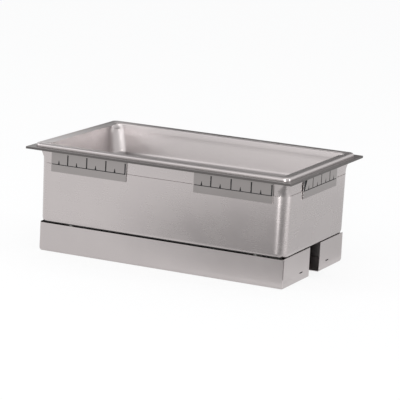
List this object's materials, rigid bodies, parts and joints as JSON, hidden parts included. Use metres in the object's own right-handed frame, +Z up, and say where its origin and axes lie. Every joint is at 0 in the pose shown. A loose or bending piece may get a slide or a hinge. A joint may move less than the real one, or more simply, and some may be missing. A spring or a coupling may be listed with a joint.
{
  "type": "drop in food well",
  "caption": "Rectangular drop in heated food well in brushed steel, with a shallow lift out food pan, bend out lock strips and a folded base tray with a conduit notch.",
  "frame": {"origin": "middle of the base tray's underside", "axes": "+X along the length towards the end with the conduit notch, +Y towards the rear, +Z up"},
  "size_m": [0.552, 0.351, 0.213],
  "materials": {
    "well_steel": "brushed stainless",
    "pan_steel": "satin stainless",
    "strip_steel": "mill finish stainless",
    "tray_steel": "brushed stainless",
    "plain_steel": "satin",
    "zinc_steel": "zinc plated",
    "element_sheath": "heat darkened",
    "aluminised_steel": "aluminised",
    "board_fibre": "rigid fibre board",
    "gasket_rubber": "matt",
    "phenolic": "moulded phenolic",
    "reset_red": "moulded",
    "wire_black": "insulated wire",
    "wire_white": "insulated wire",
    "wire_green": "insulated wire",
    "wire_grey": "braided lead"
  },
  "bodies": {
    "well": {"well_pan": "well_steel", "front_lock_strip_left": "strip_steel", "front_lock_strip_right": "strip_steel", "rear_lock_strip_left": "strip_steel", "rear_lock_strip_right": "strip_steel", "end_lock_strip_right": "strip_steel", "end_lock_strip_left": "strip_steel", "base_tray": "tray_steel", "access_cover": "tray_steel", "cover_screw_1": "zinc_steel", "cover_screw_2": "zinc_steel", "cover_screw_3": "zinc_steel", "cover_screw_4": "zinc_steel", "counter_gasket": "gasket_rubber", "tray_stud_1": "zinc_steel", "tray_stud_2": "zinc_steel", "tray_stud_3": "zinc_steel", "tray_stud_4": "zinc_steel", "tray_nut_1": "zinc_steel", "tray_nut_2": "zinc_steel", "tray_nut_3": "zinc_steel", "tray_nut_4": "zinc_steel", "heating_element": "element_sheath", "element_terminal_front": "zinc_steel", "element_terminal_rear": "zinc_steel", "clamp_bar_left": "zinc_steel", "clamp_bar_right": "zinc_steel", "clamp_stud_1": "zinc_steel", "clamp_stud_2": "zinc_steel", "clamp_stud_3": "zinc_steel", "clamp_stud_4": "zinc_steel", "clamp_nut_1": "zinc_steel", "clamp_nut_2": "zinc_steel", "clamp_nut_3": "zinc_steel", "clamp_nut_4": "zinc_steel", "reflector_plate": "aluminised_steel", "insulation_board": "board_fibre", "temperature_sensor": "plain_steel", "sensor_clip": "zinc_steel", "high_limit_body": "phenolic", "high_limit_bracket": "zinc_steel", "terminal_block": "phenolic", "terminal_screw_1": "zinc_steel", "terminal_screw_2": "zinc_steel", "terminal_screw_3": "zinc_steel", "terminal_screw_4": "zinc_steel", "ground_stud": "zinc_steel", "ground_nut": "zinc_steel", "conduit_bracket": "zinc_steel", "conduit_connector": "zinc_steel", "conduit_locknut": "zinc_steel", "wire_neutral": "wire_white", "wire_line": "wire_black", "wire_load": "wire_black", "sensor_lead": "wire_grey", "wire_ground": "wire_green"},
    "pan": {"food_pan": "pan_steel"},
    "reset": {"reset_button": "reset_red"}
  },
  "joints": [
    {"name": "pan_lift", "type": "slide", "parent": "well", "child": "pan", "axis": [0, 0, 1], "range_m": [0, 0.08]},
    {"name": "reset_press", "type": "slide", "parent": "well", "child": "reset", "axis": [0, 0, 1], "range_m": [0, 0.0015], "stiffness_N_per_m": 400, "springref_m": -0.002}
  ]
}
